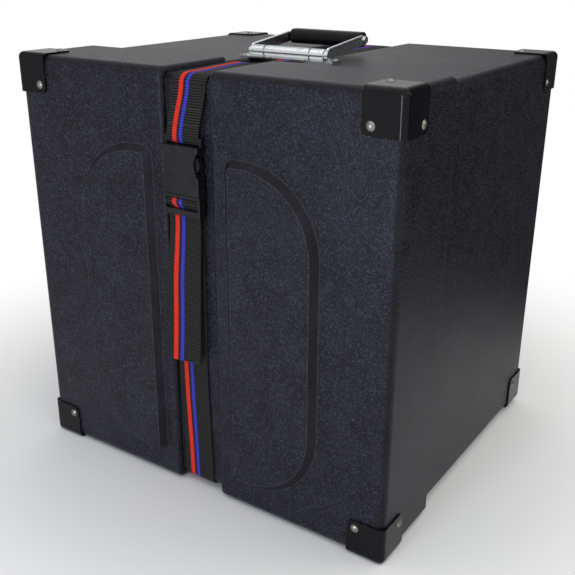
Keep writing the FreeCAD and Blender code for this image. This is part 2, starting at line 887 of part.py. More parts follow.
def handle_bracket():
    """The plate across the groove, with three rolled knuckles for the hinge pin."""
    half = bracket_half
    plate = box(-half, half, handle_y - bracket_depth / 2, handle_y + bracket_depth / 2,
                base_high_z, base_high_z + bracket_thickness)

    def upright(p, q):
        return same(p.x, q.x) and same(p.y, q.y)

    pieces = [round_edges(plate, bracket_corner_radius, upright)]
    centre_half = centre_knuckle_length / 2
    spans = [
        (-knuckle_end_x, -centre_half - knuckle_gap),
        (-centre_half, centre_half),
        (centre_half + knuckle_gap, knuckle_end_x),
    ]
    for x0, x1 in spans:
        pieces.append(cylinder_x(knuckle_radius, x0, x1, handle_y, hinge_z))
    body = fuse_all(pieces)
    bore = cylinder_x(hinge_pin_radius + pin_clearance, -half - overrun, half + overrun, handle_y, hinge_z)
    body = at_handle(body.cut(bore))
    for point in bracket_rivet_points():
        body = body.cut(drill(point, Vector(0, 0, 1), bracket_thickness))
    return body


def bracket_rivets():
    """The four domed rivets of the bracket."""
    solids = []
    for point in bracket_rivet_points():
        one = rivet(bracket_thickness + base_wall, bracket_rivet_head_radius,
                    bracket_rivet_head_height, False)
        solids.append(place_on(one, point, Vector(0, 0, 1)))
    return Part.makeCompound(solids)


def bracket_washers():
    """The four washers of the bracket's rivets, inside the base."""
    solids = []
    for point in bracket_rivet_points():
        solids.append(place_on(washer(bracket_thickness + base_wall), point, Vector(0, 0, 1)))
    return Part.makeCompound(solids)


def link_plate(first, second, x0, x1):
    """A flat plate in the YZ plane round two circles, each given as y, z and radius."""
    y1, z1, r1 = first
    y2, z2, r2 = second
    distance = math.hypot(y2 - y1, z2 - z1)
    heading = math.atan2(z2 - z1, y2 - y1)
    lean = math.acos((r1 - r2) / distance)
    corners = []
    for y, z, radius, angle in (
        (y1, z1, r1, heading + lean),
        (y2, z2, r2, heading + lean),
        (y2, z2, r2, heading - lean),
        (y1, z1, r1, heading - lean),
    ):
        corners.append(Vector(x0, y + radius * math.cos(angle), z + radius * math.sin(angle)))
    web = Part.Face(Part.makePolygon(corners + corners[:1])).extrude(Vector(x1 - x0, 0, 0))
    return [web, cylinder_x(r1, x0, x1, y1, z1), cylinder_x(r2, x0, x1, y2, z2)]


def handle_arm(side):
    """A flat arm, deep at the hinge and slim at the grip, with a rolled bead on its upper edge."""
    root = (handle_y, hinge_z, arm_root_radius)
    shoulder = (handle_y + arm_shoulder_forward, hinge_z + arm_shoulder_height, arm_shoulder_radius)
    tip = (grip_y, grip_z, arm_tip_radius)
    pieces = link_plate(root, tip, arm_inner_x, arm_outer_x)
    pieces += link_plate(shoulder, tip, arm_inner_x, arm_outer_x)
    pieces += link_plate(root, shoulder, arm_inner_x, arm_outer_x)
    bead_x = arm_inner_x + bead_radius
    start = Vector(bead_x, shoulder[0], shoulder[1] + arm_shoulder_radius)
    edge_end = Vector(bead_x, tip[0], tip[1] + arm_tip_radius)
    run = edge_end - start
    stop_short = pin_head_radius + 2 * bead_radius
    length = run.Length - stop_short
    run.normalize()
    pieces.append(Part.makeCylinder(bead_radius, length, start, run))
    pieces.append(Part.makeSphere(bead_radius, start))
    pieces.append(Part.makeSphere(bead_radius, start + run * length))
    body = fuse_all(pieces)
    for radius, y, z in ((hinge_pin_radius, handle_y, hinge_z), (grip_pin_radius, grip_y, grip_z)):
        bore = radius + pin_clearance
        body = body.cut(cylinder_x(bore, arm_inner_x - overrun, arm_outer_x + overrun, y, z))
    if side < 0:
        body = mirror_x(body)
    return at_handle(body)


def headed_pin(radius, y, z):
    """A pin across both arms with a flat head outside each."""
    seat = arm_outer_x + pin_head_gap
    pieces = [cylinder_x(radius, -seat, seat, y, z)]
    pieces.append(cylinder_x(pin_head_radius, seat, pin_end_x, y, z))
    pieces.append(cylinder_x(pin_head_radius, -pin_end_x, -seat, y, z))
    return at_handle(fuse_all(pieces))


def handle_grip():
    """The moulded grip, a well rounded bar with softened ends, bored for its pin."""
    half = grip_length / 2
    body = box(-half, half, grip_y - grip_depth / 2, grip_y + grip_depth / 2,
               grip_z - grip_height / 2, grip_z + grip_height / 2)

    def along_grip(p, q):
        return same(p.y, q.y) and same(p.z, q.z)

    def round_an_end(p, q):
        return same(p.x, q.x)

    body = round_edges(body, grip_edge_radius, along_grip)
    body = round_edges(body, grip_end_radius, round_an_end)
    bore = cylinder_x(grip_pin_radius + pin_clearance, -half - overrun, half + overrun, grip_y, grip_z)
    return at_handle(body.cut(bore))


def build():
    """Every node's name and shape."""
    nodes = {
        "base_shell": base_shell(),
        "lid_shell": lid_shell(),
        "base_dome_rivets": protector_rivets(BASE_CORNERS, base_wall, False),
        "base_flush_rivets": protector_rivets(BASE_CORNERS, base_wall, True),
        "base_rivet_washers": protector_washers(BASE_CORNERS, base_wall),
        "lid_dome_rivets": protector_rivets(LID_CORNERS, lid_wall, False),
        "lid_flush_rivets": protector_rivets(LID_CORNERS, lid_wall, True),
        "lid_rivet_washers": protector_washers(LID_CORNERS, lid_wall),
        "lid_foam": lid_foam(),
        "base_back_foam": back_foam(),
        "base_left_foam": side_foam(-1),
        "base_right_foam": side_foam(1),
        "base_top_foam": level_foam(1),
        "base_floor_foam": level_foam(-1),
        "strap_upper_run": strap_upper_run(),
        "strap_lower_run": strap_lower_run(),
        "strap_rear_run": strap_rear_run(),
        "buckle_receiver": buckle_receiver(),
        "buckle_frame": buckle_frame(),
        "buckle_prong_left": buckle_prong(-1),
        "buckle_prong_right": buckle_prong(1),
        "handle_bracket": handle_bracket(),
        "handle_bracket_rivets": bracket_rivets(),
        "handle_bracket_washers": bracket_washers(),
        "handle_arm_left": handle_arm(-1),
        "handle_arm_right": handle_arm(1),
        "handle_hinge_pin": headed_pin(hinge_pin_radius, handle_y, hinge_z),
        "handle_grip": handle_grip(),
        "handle_grip_pin": headed_pin(grip_pin_radius, grip_y, grip_z),
    }
    for name, corner, signs in LID_CORNERS + BASE_CORNERS:
        nodes[name] = protector(corner, signs)
    return nodes


def main():
    """Write one STEP file for each node."""
    os.makedirs("parts", exist_ok=True)
    for name, shape in build().items():
        if not shape.isValid():
            print("not valid:", name)
        shape.exportStep(f"parts/{name}.step")
        print(name, len(shape.Solids), round(shape.Volume / 1000, 2))


main()
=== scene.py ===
"""Finishes, soft parts, light and camera for the marching snare drum case.

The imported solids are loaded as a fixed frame. This script gives every rigid piece its finish,
replaces the webbing and the foam with modelled ones, and sets the floor, lamps and camera.
Lengths are in metres and in the frame of the solids: +Z up, the lid faces -Y.
"""

import json
import logging
import math
from dataclasses import dataclass, field
from enum import Enum

import bmesh
import bpy
from mathutils import Matrix, Vector


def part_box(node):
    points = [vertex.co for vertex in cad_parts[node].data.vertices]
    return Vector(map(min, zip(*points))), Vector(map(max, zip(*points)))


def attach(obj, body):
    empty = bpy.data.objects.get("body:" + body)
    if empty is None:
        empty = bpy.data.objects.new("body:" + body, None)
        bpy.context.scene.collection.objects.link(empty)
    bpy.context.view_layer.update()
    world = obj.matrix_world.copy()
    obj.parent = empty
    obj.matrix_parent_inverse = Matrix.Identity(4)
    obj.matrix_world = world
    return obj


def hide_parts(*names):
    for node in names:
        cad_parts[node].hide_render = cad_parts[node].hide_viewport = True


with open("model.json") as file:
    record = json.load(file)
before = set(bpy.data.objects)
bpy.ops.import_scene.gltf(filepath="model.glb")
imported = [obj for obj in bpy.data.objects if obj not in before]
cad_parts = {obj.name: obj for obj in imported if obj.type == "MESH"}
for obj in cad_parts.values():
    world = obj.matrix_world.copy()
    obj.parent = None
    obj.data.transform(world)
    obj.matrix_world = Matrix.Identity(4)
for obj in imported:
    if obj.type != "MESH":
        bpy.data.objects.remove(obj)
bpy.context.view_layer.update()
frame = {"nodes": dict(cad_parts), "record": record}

LOG = logging.getLogger("drum_case")
MM = 0.001

Socket = bpy.types.NodeSocket
Material = bpy.types.Material
Colour = tuple[float, float, float]
Point = tuple[float, float, float]
Band = tuple[float, float]


class Slot(Enum):
    """The record's material slots."""

    SHELL = "shell_plastic"
    PROTECTOR = "protector_enamel"
    RIVET = "rivet_nickel"
    WASHER = "washer_steel"
    FOAM = "lining_foam"
    WEBBING = "strap_webbing"
    BUCKLE = "buckle_plastic"
    HANDLE = "handle_steel"
    GRIP = "grip_plastic"


# Node graphs


@dataclass(frozen=True)
class Noise:
    """Fractal noise: lumps in a metre, octaves, how strong the fine ones are, and its two levels."""

    per_metre: float
    octaves: float = 3.0
    rough: float = 0.5
    levels: Band | None = None


class Graph:
    """A material's node graph, built one node at a time."""

    def __init__(self, name: str) -> None:
        """Make an empty material with a Principled shader.

        Args:
            name: The material's name.
        """
        self.material = bpy.data.materials.new(name)
        self.material.use_nodes = True
        self.tree = self.material.node_tree
        self.tree.nodes.clear()
        self.output = self.tree.nodes.new("ShaderNodeOutputMaterial")
        self.shader = self.tree.nodes.new("ShaderNodeBsdfPrincipled")
        self.link(self.shader.outputs[0], self.output.inputs[0])

    @classmethod
    def of_world(cls, world: bpy.types.World) -> "Graph":
        """Start a graph in a world, with its output alone.

        Args:
            world: The world.

        Returns:
            The graph.
        """
        made = cls.__new__(cls)
        made.tree = world.node_tree
        made.tree.nodes.clear()
        made.output = made.tree.nodes.new("ShaderNodeOutputWorld")
        return made

    def node(self, kind: str, takes: dict[str | int, object] | None = None,
             **settings: object) -> bpy.types.Node:
        """Add a node.

        Args:
            kind: The node's type, without its ShaderNode prefix.
            takes: What its inputs take, by their names or numbers.
            settings: Attributes to set on it.

        Returns:
            The new node.
        """
        made = self.tree.nodes.new("ShaderNode" + kind)
        for key, value in settings.items():
            setattr(made, key, value)
        for key, value in (takes or {}).items():
            self.feed(made.inputs[key], value)
        return made

    def link(self, source: Socket, target: Socket) -> None:
        """Join two sockets."""
        self.tree.links.new(source, target)

    def feed(self, target: Socket, value: object) -> None:
        """Link a socket, or set a plain value, on a target socket."""
        if isinstance(value, Socket):
            self.link(value, target)
        elif isinstance(value, tuple) and len(value) == 3 and target.type == "RGBA":
            target.default_value = (*value, 1.0)
        else:
            target.default_value = value

    def place(self) -> Socket:
        """The point's own place on its piece, in metres."""
        return self.node("TexCoord").outputs["Object"]

    def stretched(self, scale: Point) -> Socket:
        """The place, scaled differently along X, Y and Z."""
        return self.node("Mapping", {"Vector": self.place(), "Scale": scale}).outputs["Vector"]

    def noise(self, noise: Noise, at: Socket | None = None) -> Socket:
        """Fractal noise, from 0 at its low level to 1 at its high one.

        Args:
            noise: Which noise; without levels it stays as it is.
            at: Where to read it, if not at the point's own place.

        Returns:
            The noise value.
        """
        made = self.node("TexNoise", {"Vector": at or self.place(), "Scale": noise.per_metre,
                                      "Detail": noise.octaves, "Roughness": noise.rough})
        value = made.outputs["Fac"]
        return value if noise.levels is None else self.span(value, *noise.levels)

    def cells(self, per_metre: float, smooth: float) -> Socket:
        """Distance to the middle of rounded cells.

        Args:
            per_metre: How many cells there are in a metre.
            smooth: How softly the cells join.

        Returns:
            The distance value.
        """
        made = self.node("TexVoronoi", {"Vector": self.place(), "Scale": per_metre, "Smoothness": smooth},
                         feature="SMOOTH_F1")
        return made.outputs["Distance"]

    def maths(self, operation: str, *values: object) -> Socket:
        """The result of one Math node.

        Args:
            operation: What the node works out.
            values: Sockets or numbers, in the node's order.

        Returns:
            The result.
        """
        return self.node("Math", dict(enumerate(values)), operation=operation).outputs[0]

    def times(self, first: object, second: object) -> Socket:
        """The product of two values."""
        return self.maths("MULTIPLY", first, second)

    def vector(self, operation: str, *values: object) -> bpy.types.Node:
        """A Vector Math node, fed with sockets or vectors."""
        return self.node("VectorMath", dict(enumerate(values)), operation=operation)

    def parts(self, vector: Socket) -> tuple[Socket, ...]:
        """The X, Y and Z of a vector."""
        return tuple(self.node("SeparateXYZ", {"Vector": vector}).outputs)

    def rounded(self, radius: float) -> Socket:
        """The normal, rounded over the edges by a radius in metres."""
        return self.node("Bevel", {"Radius": radius}, samples=4).outputs["Normal"]

    def span(self, value: Socket, low: float, high: float,
             to_low: float = 0.0, to_high: float = 1.0) -> Socket:
        """A range of a value carried smoothly to another range, and held at its ends.

        Args:
            value: The value to carry over.
            low: Where its range starts.
            high: Where its range ends.
            to_low: What the start becomes.
            to_high: What the end becomes.

        Returns:
            The new value.
        """
        takes = {"Value": value, "From Min": low, "From Max": high, "To Min": to_low, "To Max": to_high}
        return self.node("MapRange", takes, interpolation_type="SMOOTHSTEP").outputs["Result"]

    def blend(self, share: object, first: object, second: object) -> Socket:
        """Two colours mixed by a share.

        Args:
            share: How much of the second colour shows.
            first: A colour or a colour socket.
            second: A colour or a colour socket.

        Returns:
            The mixed colour.
        """
        return self.node("Mix", {0: share, 6: first, 7: second}, data_type="RGBA").outputs[2]

    def relief(self, height: Socket, depth: float, strength: float = 1.0,
               over: Socket | None = None) -> Socket:
        """A bump from a height value.

        Args:
            height: The height, from 0 to 1.
            depth: How deep the relief is, in metres.
            strength: How much of it is used.
            over: A bump that this one is laid over.

        Returns:
            The bumped normal.
        """
        takes = {"Height": height, "Distance": depth, "Strength": strength}
        if over is not None:
            takes["Normal"] = over
        return self.node("Bump", takes).outputs["Normal"]

    def sharp_edge_share(self, radius: float, low: float, high: float) -> Socket:
        """A share that rises where the surface turns sharply.

        Args:
            radius: How far from an edge it is felt, in metres.
            low: The turn at which it starts.
            high: The turn at which it is full.

        Returns:
            The share.
        """
        plain = self.node("NewGeometry").outputs["Normal"]
        turn = self.vector("DISTANCE", self.rounded(radius), plain)
        return self.span(turn.outputs["Value"], low, high)

    def square_on(self, low: float, high: float, least: float) -> Socket:
        """A share that is full on faces square to the piece's own axes, and least on its slopes.

        Args:
            low: The largest part of the normal at which the share is least.
            high: The largest part of the normal at which it is full.
            least: The share on the slopes.

        Returns:
            The share.
        """
        facing = self.vector("ABSOLUTE", self.node("TexCoord").outputs["Normal"])
        x, y, z = self.parts(facing.outputs["Vector"])
        return self.span(self.maths("MAXIMUM", self.maths("MAXIMUM", x, y), z), low, high, least)

    def surface(self, **values: object) -> None:
        """Set or link the shader's sockets.

        Args:
            values: Socket names, with underscores for spaces, and what they take.
        """
        for key, value in values.items():
            self.feed(self.shader.inputs[key.replace("_", " ")], value)

    def show_mixed(self, share: Socket, first: bpy.types.Node, second: bpy.types.Node) -> None:
        """Send two shaders to the output, mixed by the share of the second."""
        mix = self.node("MixShader", {0: share, 1: first.outputs[0], 2: second.outputs[0]})
        self.link(mix.outputs[0], self.output.inputs[0])


# Finishes


@dataclass(frozen=True)
class Finish:
    """A finish that paints a material of its own."""

    name: str

    def build(self) -> Material:
        """Build the material."""
        g = Graph(self.name)
        self.paint(g)
        return g.material

    def paint(self, g: Graph) -> None:
        """Add this finish's nodes."""
        raise NotImplementedError


@dataclass(frozen=True)
class PebblePlastic(Finish):
    """Black moulded plastic with a fine pebble grain, painted bluish glints, a painted highlight along its
    sharp edges and a slightly wavy panel surface.
    """

    name: str = "pebble_grained_plastic"
    dark: Colour = (0.0020, 0.0020, 0.0034)
    light: Colour = (0.0085, 0.0085, 0.0125)
    # Painted highlight: the fleck colour is a bluish glint painted on the grain.
    painted_glint: Colour = (0.0600, 0.0630, 0.1080)
    scuff: Colour = (0.055, 0.055, 0.058)
    # Painted highlight: the edge colour is a light grey painted along sharp edges.
    painted_edge_highlight: Colour = (0.115, 0.115, 0.120)
    mottle: Noise = Noise(38.0, 4.0, 0.6, (0.3, 0.7))
    grain_per_metre: float = 760.0
    grain_softness: float = 0.7
    fine: Noise = Noise(2100.0, 2.0, 0.6)
    fine_share: float = 0.35
    grain_depth: float = 0.38 * MM
    glint_noise: Noise = Noise(640.0, 3.0, 0.8, (0.49, 0.72))
    slope_range: Band = (0.80, 0.97)
    slope_glint_share: float = 0.15
    scratch: Noise = Noise(240.0, 5.0, 0.75, (0.66, 0.76))
    scratch_stretch: Point = (1.0, 0.12, 0.35)
    patch: Noise = Noise(9.0, 2.0, 0.5, (0.5, 0.7))
    scuff_share: float = 0.55
    edge_radius: float = 1.2 * MM
    edge_turn: Band = (0.06, 0.30)
    edge_breakup: Noise = Noise(150.0, 4.0, 0.7, (0.25, 0.60))
    edge_highlight_share: float = 0.6
    wave: Noise = Noise(5.5, 1.0, 0.4)
    wave_depth: float = 4.0 * MM
    pit_range: Band = (0.25, 0.75)
    roughness: Band = (0.20, 0.32)
    haze: Noise = Noise(14.0)
    haze_share: float = 0.08
    gloss: float = 0.20

    def paint(self, g: Graph) -> None:
        """Add this finish's nodes."""
        grain = g.cells(self.grain_per_metre, self.grain_softness)
        fine = g.noise(self.fine)
        pebble = g.maths("ADD", grain, g.times(fine, self.fine_share))
        scratches = g.noise(self.scratch, g.stretched(self.scratch_stretch))
        rubbed = g.times(scratches, g.noise(self.patch))
        # Painted highlight: a light grey painted along the sharp edges of the panels, broken up by noise.
        painted_highlight = g.times(g.sharp_edge_share(self.edge_radius, *self.edge_turn), g.noise(self.edge_breakup))
        base = g.blend(g.noise(self.mottle), self.dark, self.light)
        # Painted highlight: bluish glints painted on the grain, fewer on the slopes, which catch other
        # light.
        painted_glints = g.times(g.noise(self.glint_noise), g.square_on(*self.slope_range, self.slope_glint_share))
        base = g.blend(painted_glints, base, self.painted_glint)
        base = g.blend(g.times(rubbed, self.scuff_share), base, self.scuff)
        base = g.blend(g.times(painted_highlight, self.edge_highlight_share), base, self.painted_edge_highlight)
        pits = g.span(pebble, *self.pit_range, *self.roughness)
        rough = g.maths("ADD", pits, g.times(g.noise(self.haze), self.haze_share))
        wave = g.relief(g.noise(self.wave), self.wave_depth)
        g.surface(Base_Color=base, Roughness=rough, IOR=1.49, Specular_IOR_Level=self.gloss,
                  Normal=g.relief(pebble, self.grain_depth, 0.9, wave))


@dataclass(frozen=True)
class BlackEnamel(Finish):
    """Glossy black enamel over steel, with a little orange peel and bare steel at rubbed edges."""

    name: str = "black_enamel_on_steel"
    black: Colour = (0.0025, 0.0025, 0.0045)
    steel: Colour = (0.30, 0.30, 0.31)
    rub_radius: float = 1.1 * MM
    rub_turn: Band = (0.18, 0.7)
    edge_breakup: Noise = Noise(300.0, 5.0, 0.7, (0.5, 0.68))
    speck: Noise = Noise(620.0, 3.0, 0.6, (0.735, 0.775))
    speck_share: float = 0.6
    peel: Noise = Noise(420.0, 2.0, 0.4)
    peel_depth: float = 0.06 * MM
    smear: Noise = Noise(30.0, 4.0, 0.6)
    smear_range: Band = (0.3, 0.8)
    roughness: Band = (0.08, 0.18)
    gloss: float = 0.13
    lacquer: float = 0.06

    def paint(self, g: Graph) -> None:
        """Add this finish's nodes."""
        rub = g.times(g.sharp_edge_share(self.rub_radius, *self.rub_turn), g.noise(self.edge_breakup))
        bare = g.maths("MAXIMUM", rub, g.times(g.noise(self.speck), self.speck_share))
        colour = g.blend(bare, self.black, self.steel)
        smear = g.span(g.noise(self.smear), *self.smear_range, *self.roughness)
        peel = g.relief(g.noise(self.peel), self.peel_depth)
        g.surface(Base_Color=colour, Roughness=smear, Metallic=g.times(bare, 0.9), IOR=1.55,
                  Specular_IOR_Level=self.gloss, Coat_Weight=self.lacquer, Coat_Roughness=0.05, Normal=peel)


@dataclass(frozen=True)
class PlatedSteel(Finish):
    """Bright plated steel with a faint drawn grain and a few dull marks."""

    bright: Colour = (0.76, 0.79, 0.80)
    dull: Colour = (0.50, 0.52, 0.53)
    roughness: Band = (0.16, 0.30)
    grain_axes: Point = (0.06, 1.0, 1.0)
    grain: Noise = Noise(1500.0, 3.0, 0.6)
    grain_depth: float = 0.03 * MM
    grain_share: float = 0.6
    cloud: Noise = Noise(120.0, 4.0, 0.65)
    cloud_range: Band = (0.52, 0.75)
    cloud_share: float = 0.4
    mark: Noise = Noise(900.0, 2.0, 0.5, (0.70, 0.76))
    uneven_range: Band = (0.3, 0.7)

    def paint(self, g: Graph) -> None:
        """Add this finish's nodes."""
        drawn = g.noise(self.grain, g.stretched(self.grain_axes))
        cloud = g.noise(self.cloud)
        tarnish = g.maths("MAXIMUM", g.span(cloud, *self.cloud_range), g.noise(self.mark))
        colour = g.blend(tarnish, self.bright, self.dull)
        uneven = g.maths("ADD", g.times(drawn, self.grain_share), g.times(cloud, self.cloud_share))
        rough = g.span(uneven, *self.uneven_range, *self.roughness)
        g.surface(Base_Color=colour, Metallic=1.0, Roughness=rough,
                  Normal=g.relief(drawn, self.grain_depth))


@dataclass(frozen=True)
class SmoothPlastic(Finish):
    """Smooth moulded black plastic with a soft sheen, a painted highlight along its edges and fine spark
    texture.
    """

    dark: Colour
    light: Colour
    roughness: Band
    gloss: float
    # Painted highlight: the edge colour is a lighter grey painted along sharp edges.
    painted_edge_highlight: Colour = (0.06, 0.06, 0.065)
    edge_turn: Band = (0.15, 0.8)
    edge_highlight_share: float = 0.4
    edge_radius: float = 0.8 * MM
    spark: Noise = Noise(2600.0, 3.0, 0.7)
    spark_depth: float = 0.04 * MM
    cloud: Noise = Noise(70.0, 4.0, 0.6, (0.3, 0.7))
    smear: Noise = Noise(400.0)
    smear_range: Band = (0.3, 0.7)

    def paint(self, g: Graph) -> None:
        """Add this finish's nodes."""
        # Painted highlight: a lighter grey painted along the sharp edges.
        painted_highlight = g.times(g.sharp_edge_share(self.edge_radius, *self.edge_turn), self.edge_highlight_share)
        colour = g.blend(g.noise(self.cloud), self.dark, self.light)
        colour = g.blend(painted_highlight, colour, self.painted_edge_highlight)
        spark = g.relief(g.noise(self.spark), self.spark_depth, 0.8,
                         g.rounded(self.edge_radius))
        g.surface(Base_Color=colour, Normal=spark, IOR=1.48, Specular_IOR_Level=self.gloss,
                  Roughness=g.span(g.noise(self.smear), *self.smear_range, *self.roughness))


@dataclass(frozen=True)
class WovenStripes(Finish):
    """Black polypropylene webbing with a wide red and a narrow blue stripe and a ribbed weave, whose shade
    is painted into the colour.

    The mesh carries an attribute named weave: the share across the width, and the metres along.
    """

    name: str = "striped_webbing"
    width: float = 38.0 * MM
    rib_pitch: float = 2.4 * MM
    yarn_pitch: float = 1.15 * MM
    red_shares: Band = (0.195, 0.325)
    blue_shares: Band = (0.405, 0.505)
    stripe_softness: float = 0.006
    stripe_raggedness: float = 0.0045
    # Painted shade: each colour has a shaded and a lit copy, and the weave's painted shade picks between
    # them.
    black: Colour = (0.0022, 0.0020, 0.0018)
    black_lit: Colour = (0.052, 0.050, 0.045)
    red: Colour = (0.90, 0.048, 0.026)
    red_shaded: Colour = (0.60, 0.022, 0.014)
    blue: Colour = (0.070, 0.068, 0.66)
    blue_shaded: Colour = (0.030, 0.028, 0.34)
    roughness: Band = (0.52, 0.75)
    weave_depth: float = 0.12 * MM
    fibre: Noise = Noise(2600.0, 3.0, 0.7)
    fibre_range: Band = (0.2, 0.8)
    fibre_light: Band = (0.6, 1.15)
    fibre_share: float = 0.6
    twill_share: float = 0.25
    yarn_contrast: float = 0.34
    fibre_stretch: Point = (1.0, 0.35, 0.35)
    gloss: float = 0.12

    def paint(self, g: Graph) -> None:
        """Add this finish's nodes."""
        weave = g.node("Attribute", attribute_name="weave")
        across, along, _ = g.parts(weave.outputs["Vector"])
        rib = g.maths("COSINE", g.times(along, math.tau / self.rib_pitch))
        lifted = g.maths("MULTIPLY_ADD", rib, 0.5, 0.5)
        metres_across = g.times(across, self.width)
        yarn = g.maths("COSINE", g.times(metres_across, math.tau / self.yarn_pitch))
        twill = g.maths("COSINE", g.maths("MULTIPLY_ADD", metres_across, math.pi / self.yarn_pitch,
                                          g.times(along, math.pi / self.rib_pitch)))
        fibre = g.noise(self.fibre, g.stretched(self.fibre_stretch))
        # Painted shade of the weave: darker in the rib troughs and between the yarns, lighter on the
        # crests, times a random fibre tone.
        lit = g.times(g.maths("MULTIPLY_ADD", yarn, self.yarn_contrast, 1 - self.yarn_contrast), lifted)
        lit = g.times(lit, g.span(fibre, *self.fibre_range, *self.fibre_light))
        ragged = g.maths("ADD", across, g.times(rib, self.stripe_raggedness))
        colour = g.blend(lit, self.black, self.black_lit)
        for shares, shaded, bright in ((self.red_shares, self.red_shaded, self.red),
                                     (self.blue_shares, self.blue_shaded, self.blue)):
            colour = g.blend(self.stripe(g, ragged, shares), colour, g.blend(lit, shaded, bright))
        height = g.maths("ADD", g.times(twill, self.twill_share), g.times(fibre, self.fibre_share))
        rough = g.span(fibre, *self.fibre_range, *self.roughness)
        g.surface(Base_Color=colour, Roughness=rough, Sheen_Weight=0.03, Sheen_Roughness=0.4,
                  Specular_IOR_Level=self.gloss, Normal=g.relief(height, self.weave_depth, 0.8))

    def stripe(self, g: Graph, across: Socket, shares: Band) -> Socket:
        """A mask that is 1 inside one stripe.

        Args:
            g: The graph.
            across: The share across the webbing.
            shares: Where the stripe starts and ends.

        Returns:
            The mask.
        """
        start, end = shares
        soft = self.stripe_softness
        rise = g.span(across, start - soft, start + soft)
        fall = g.span(across, end - soft, end + soft, 1.0, 0.0)
        return g.times(rise, fall)


@dataclass(frozen=True)
class Thread(Finish):
    """Waxed black sewing thread with a twist."""

    name: str = "sewing_thread"
    dark: Colour = (0.03, 0.028, 0.025)
    light: Colour = (0.11, 0.105, 0.095)
    twist: Noise = Noise(3500.0, 2.0)
    twist_range: Band = (0.3, 0.7)
    twist_depth: float = 0.1 * MM

    def paint(self, g: Graph) -> None:
        """Add this finish's nodes."""
        twist = g.noise(self.twist)
        # Painted shade of the twist: the colour is lighter where the twist bump stands higher.
        colour = g.blend(g.span(twist, *self.twist_range), self.dark, self.light)
        g.surface(Base_Color=colour, Roughness=0.45, Normal=g.relief(twist, self.twist_depth))


@dataclass(frozen=True)
class OpenCellFoam(Finish):
    """Charcoal open-cell foam with fine pores, with painted shade in the pores."""

    name: str = "charcoal_foam"
    dark: Colour = (0.010, 0.010, 0.011)
    light: Colour = (0.055, 0.055, 0.058)
    pores_per_metre: float = 900.0
    pore_softness: float = 0.25
    pore_range: Band = (0.15, 0.55)
    pore_depth: float = 0.5 * MM
    cloud: Noise = Noise(55.0, 4.0, 0.6)
    cloud_range: Band = (0.2, 0.8)
    cloud_light: Band = (0.6, 1.0)
    swell: Noise = Noise(60.0)
    swell_depth: float = 1.2 * MM

    def paint(self, g: Graph) -> None:
        """Add this finish's nodes."""
        pores = g.cells(self.pores_per_metre, self.pore_softness)
        cloud = g.span(g.noise(self.cloud), *self.cloud_range, *self.cloud_light)
        # Painted shade in the pores: darker at the pore middles, which the bump sinks, times a random
        # cloudy tone.
        colour = g.blend(g.times(g.span(pores, *self.pore_range), cloud), self.dark, self.light)
        swell = g.relief(g.noise(self.swell), self.swell_depth)
        g.surface(Base_Color=colour, Roughness=0.92, Sheen_Weight=0.25, Sheen_Roughness=0.6,
                  Normal=g.relief(pores, self.pore_depth, 0.9, swell))


# The case's planes


@dataclass(frozen=True)
class CasePlanes:
    """The planes of both shells that the webbing lies in."""

    front: float
    rear: float
    lid_rim: float
    lid_low: float
    lid_high: float
    base_low: float
    base_high: float
    groove_depth: float = 6.0 * MM
    lay_off: float = 1.1 * MM

    @property
    def inset(self) -> float:
        """How far the middle of the webbing in a groove lies inside its plane."""
        return self.groove_depth - self.lay_off

    @classmethod
    def read(cls, panel_rise: float = 6.4 * MM) -> "CasePlanes":
        """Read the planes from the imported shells.

        Args:
            panel_rise: How far the raised panels stand before the lid's front.

        Returns:
            The planes.
        """
        lid_least, lid_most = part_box("lid_shell")
        base_least, base_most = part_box("base_shell")
        return cls(lid_least[1] + panel_rise, base_most[1], lid_most[1], lid_least[2], lid_most[2],
                   base_least[2], base_most[2])


# Webbing


@dataclass
class Skin:
    """The points and faces of closed skins over rings of points."""

    points: list[Vector] = field(default_factory=list)
    faces: list[tuple[int, ...]] = field(default_factory=list)

    def cover(self, rings: list[list[Vector]]) -> None:
        """Join rings of equally many points, and close both ends.

        Args:
            rings: The rings, in order.
        """
        start, size = len(self.points), len(rings[0])
        last = start + (len(rings) - 1) * size
        for ring in rings:
            self.points.extend(ring)
        for k in range(start, last, size):
            for i in range(size):
                j = (i + 1) % size
                self.faces.append((k + i, k + j, k + size + j, k + size + i))
        self.faces.append(tuple(range(start + size - 1, start - 1, -1)))
        self.faces.append(tuple(range(last, last + size)))

    def mesh(self, name: str) -> bpy.types.Mesh:
        """Make a mesh of everything covered so far."""
        made = bpy.data.meshes.new(name)
        made.from_pydata(self.points, [], self.faces)
        return made


@dataclass(frozen=True)
class Bend:
    """One corner of a strap's route in the YZ plane, with the radius it is bent to."""

    y: float
    z: float
    radius: float = 0.0


@dataclass(frozen=True)
class Course:
    """A value that eases from one named distance along a strap to the next."""

    stops: tuple[Band, ...] = ((0.0, 0.0),)

    def at(self, along: float) -> float:
        """The value at a distance along the strap.

        Args:
            along: The distance from the strap's start.

        Returns:
            The value there.
        """
        for (start, first), (end, second) in zip(self.stops, self.stops[1:]):
            if along < end:
                share = max(0.0, (along - start) / (end - start))
                return first + (second - first) * share * share * (3 - 2 * share)
        return self.stops[-1][1]


@dataclass(frozen=True)
class Station:
    """A place on a strap's middle line."""

    place: Vector
    normal: Vector
    along: float


